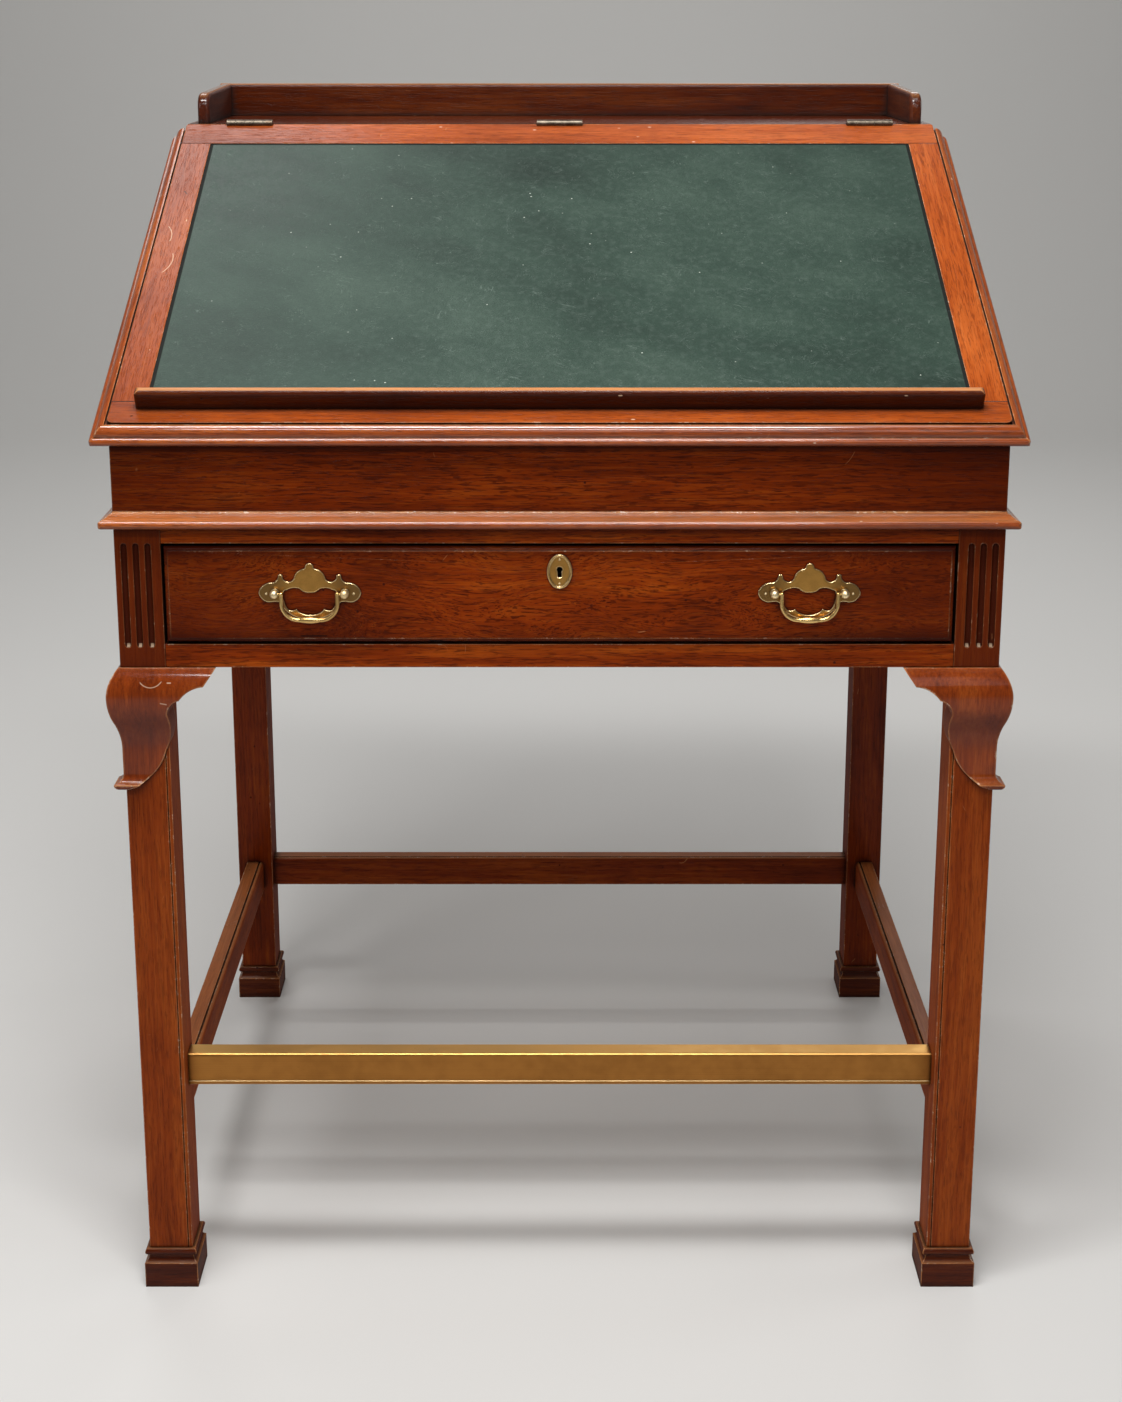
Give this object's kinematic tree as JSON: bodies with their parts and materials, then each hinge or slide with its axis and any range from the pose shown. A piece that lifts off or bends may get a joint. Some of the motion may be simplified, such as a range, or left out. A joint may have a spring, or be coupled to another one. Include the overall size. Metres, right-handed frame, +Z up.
{
  "type": "clerk's standing desk",
  "caption": "Tall mahogany writing desk on square legs with a hinged sloping leather lid, a drawer with bail handles, a gallery shelf and a brass foot rail.",
  "frame": {"origin": "on the floor, under the middle of the desk's outer bounds", "axes": "+X to the clerk's right, +Y from the clerk's side to the back, +Z up"},
  "size_m": [1.004, 0.7992, 1.366],
  "materials": {
    "mahogany": "French polish, worn",
    "secondary_wood": "bare, waxed",
    "green_leather": "satin, scuffed",
    "aged_brass": "aged, rubbed edges",
    "dark_steel": "darkened"
  },
  "bodies": {
    "carcase": {"leg_front_left": "mahogany", "leg_front_right": "mahogany", "leg_rear_left": "mahogany", "leg_rear_right": "mahogany", "foot_front_left": "mahogany", "foot_front_right": "mahogany", "foot_rear_left": "mahogany", "foot_rear_right": "mahogany", "knee_bracket_left": "mahogany", "knee_bracket_right": "mahogany", "stretcher_left": "mahogany", "stretcher_right": "mahogany", "stretcher_rear": "mahogany", "brass_foot_rail": "aged_brass", "apron_left": "mahogany", "apron_right": "mahogany", "apron_back": "mahogany", "drawer_runner_left": "secondary_wood", "drawer_runner_right": "secondary_wood", "drawer_bottom_rail": "mahogany", "drawer_top_rail": "mahogany", "drawer_kickers": "secondary_wood", "waist_moulding_front": "mahogany", "waist_moulding_left": "mahogany", "waist_moulding_right": "mahogany", "box_front": "mahogany", "box_side_left": "mahogany", "box_side_right": "mahogany", "box_back": "secondary_wood", "box_floor": "secondary_wood", "pen_shelf": "mahogany", "gallery_back": "mahogany", "gallery_left": "mahogany", "gallery_right": "mahogany", "hinge_shelf_leaves": "dark_steel", "hinge_pins": "dark_steel"},
    "lid": {"lid_top_rail": "mahogany", "lid_bottom_rail": "mahogany", "lid_stile_left": "mahogany", "lid_stile_right": "mahogany", "lid_panel": "mahogany", "writing_leather": "green_leather", "lid_moulding_front": "mahogany", "lid_moulding_left": "mahogany", "lid_moulding_right": "mahogany", "paper_ledge": "mahogany", "hinge_lid_leaves": "dark_steel"},
    "drawer": {"drawer_front": "mahogany", "drawer_side_left": "secondary_wood", "drawer_side_right": "secondary_wood", "drawer_back": "secondary_wood", "drawer_bottom": "secondary_wood", "drawer_lock": "dark_steel", "escutcheon": "aged_brass", "handle_plates": "aged_brass", "handle_posts": "aged_brass", "handle_nuts": "aged_brass"},
    "bail_left": {"handle_bail_left": "aged_brass"},
    "bail_right": {"handle_bail_right": "aged_brass"},
    "bolt": {"lock_bolt": "dark_steel"}
  },
  "joints": [
    {"name": "lid_hinge", "type": "hinge", "parent": "carcase", "child": "lid", "pos_m": [0, 0.17096, 1.32325], "axis": [-1, 0, 0], "range_deg": [0, 140]},
    {"name": "drawer_slide", "type": "slide", "parent": "carcase", "child": "drawer", "axis": [0, -1, 0], "range_m": [0, 0.42]},
    {"name": "bail_left_swing", "type": "hinge", "parent": "drawer", "child": "bail_left", "pos_m": [-0.271, -0.3948, 0.8515], "axis": [-1, 0, 0], "range_deg": [0, 100]},
    {"name": "bail_right_swing", "type": "hinge", "parent": "drawer", "child": "bail_right", "pos_m": [0.271, -0.3948, 0.8515], "axis": [-1, 0, 0], "range_deg": [0, 100]},
    {"name": "bolt_throw", "type": "slide", "parent": "drawer", "child": "bolt", "axis": [0, 0, 1], "range_m": [0, 0.008]}
  ]
}
